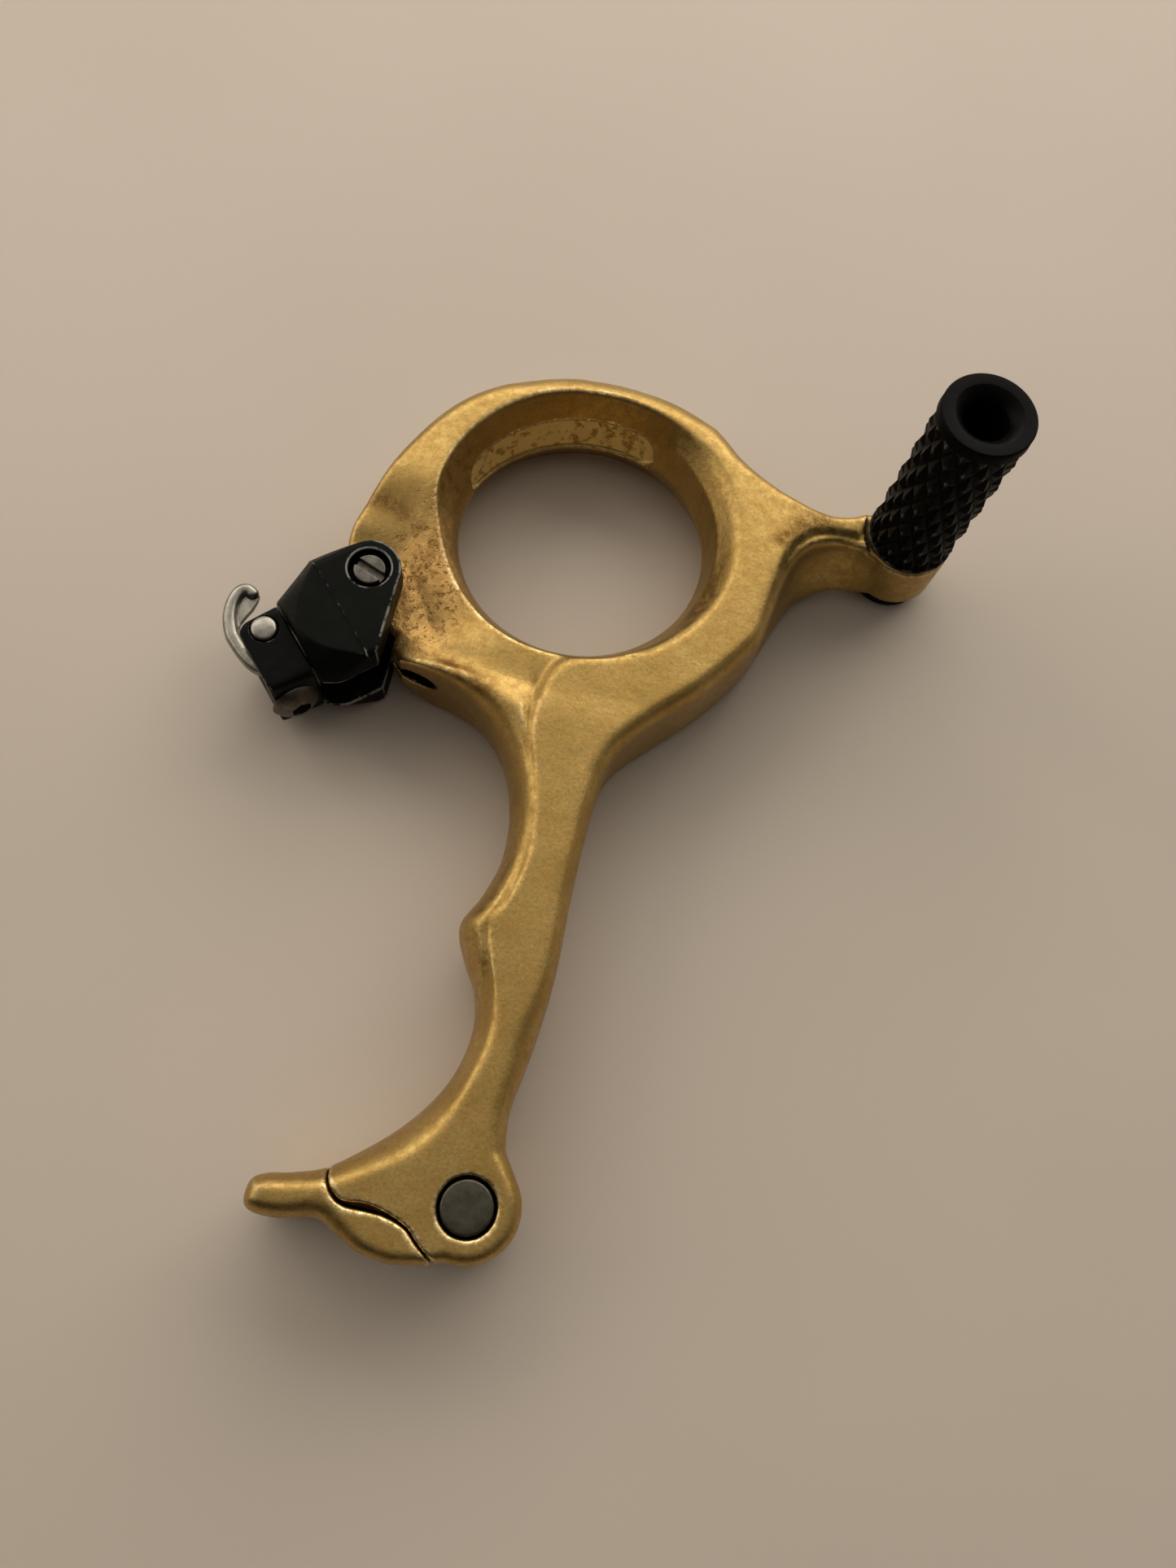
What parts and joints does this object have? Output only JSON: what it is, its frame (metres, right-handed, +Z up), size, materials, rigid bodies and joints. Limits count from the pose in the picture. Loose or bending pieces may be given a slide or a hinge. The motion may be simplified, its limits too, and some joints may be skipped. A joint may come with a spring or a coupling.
{
  "type": "archery hinge release aid",
  "caption": "Hand-held hinge release for a bowstring: finger-ring brass handle, knurled thumb barrel, folding little-finger extension and a swivel head with a steel hook.",
  "frame": {"origin": "middle of the underside of the bounding box: the handle lies flat and the origin is on the surface it lies on", "axes": "+Z up out of the table along the thumb barrel, +Y from the little-finger end towards the index-finger ring, +X towards the thumb barrel; the hook pulls towards -X -Y"},
  "size_m": [0.0772, 0.0986, 0.032],
  "materials": {
    "cast_brass": "tumbled cast brass, satin with brown patina in the hollows",
    "bronze": "plain bearing bronze",
    "black_anodised": "satin black anodised, edges worn to bright metal",
    "knurled_black": "black anodised diamond knurl",
    "satin_steel": "satin stainless steel",
    "dark_steel": "dark oiled steel, lightly worn"
  },
  "bodies": {
    "handle": {"handle_body": "cast_brass", "pivot_bushing": "bronze", "half_moon": "satin_steel", "half_moon_set_screw": "dark_steel", "head_travel_set_screw": "dark_steel", "thumb_barrel": "knurled_black", "thumb_barrel_screw": "black_anodised", "extension_hinge_pin": "dark_steel", "extension_detent_ball": "satin_steel", "extension_detent_spring": "satin_steel"},
    "extension": {"little_finger_extension": "cast_brass"},
    "head": {"head_yoke": "black_anodised", "pivot_screw": "dark_steel", "upper_thrust_washer": "bronze", "lower_thrust_washer": "bronze"},
    "sear": {"sear_plunger": "satin_steel"},
    "hook_block": {"hook_block": "black_anodised", "hook_pin": "satin_steel", "hook_lock_screw": "dark_steel", "swivel_washer": "dark_steel", "swivel_retaining_ring": "satin_steel"},
    "hook": {"hook": "satin_steel"}
  },
  "joints": [
    {"name": "head_swing", "type": "hinge", "parent": "handle", "child": "head", "pos_m": [-0.02338, 0.0161, 0.00635], "axis": [0, 0, 1], "range_deg": [-36, 0]},
    {"name": "sear_slide", "type": "slide", "parent": "head", "child": "sear", "axis": [0.7071, 0.7071, 0], "range_m": [0, 0.0019]},
    {"name": "hook_block_swivel", "type": "hinge", "parent": "head", "child": "hook_block", "pos_m": [-0.02847, 0.00705, 0.00635], "axis": [-0.7071, -0.7071, 0], "continuous": true},
    {"name": "hook_open", "type": "hinge", "parent": "hook_block", "child": "hook", "pos_m": [-0.0321, 0.00693, 0.00635], "axis": [0, 0, 1], "range_deg": [0, 45]},
    {"name": "extension_fold", "type": "hinge", "parent": "handle", "child": "extension", "pos_m": [0.00432, -0.043, 0.00635], "axis": [0, 0, 1], "range_deg": [0, 110]}
  ],
  "couplings": [
    {"joint": "hook_open", "follows": "head_swing", "ratio": -1.25},
    {"joint": "sear_slide", "follows": "head_swing", "m_per_rad": -0.0030239}
  ]
}
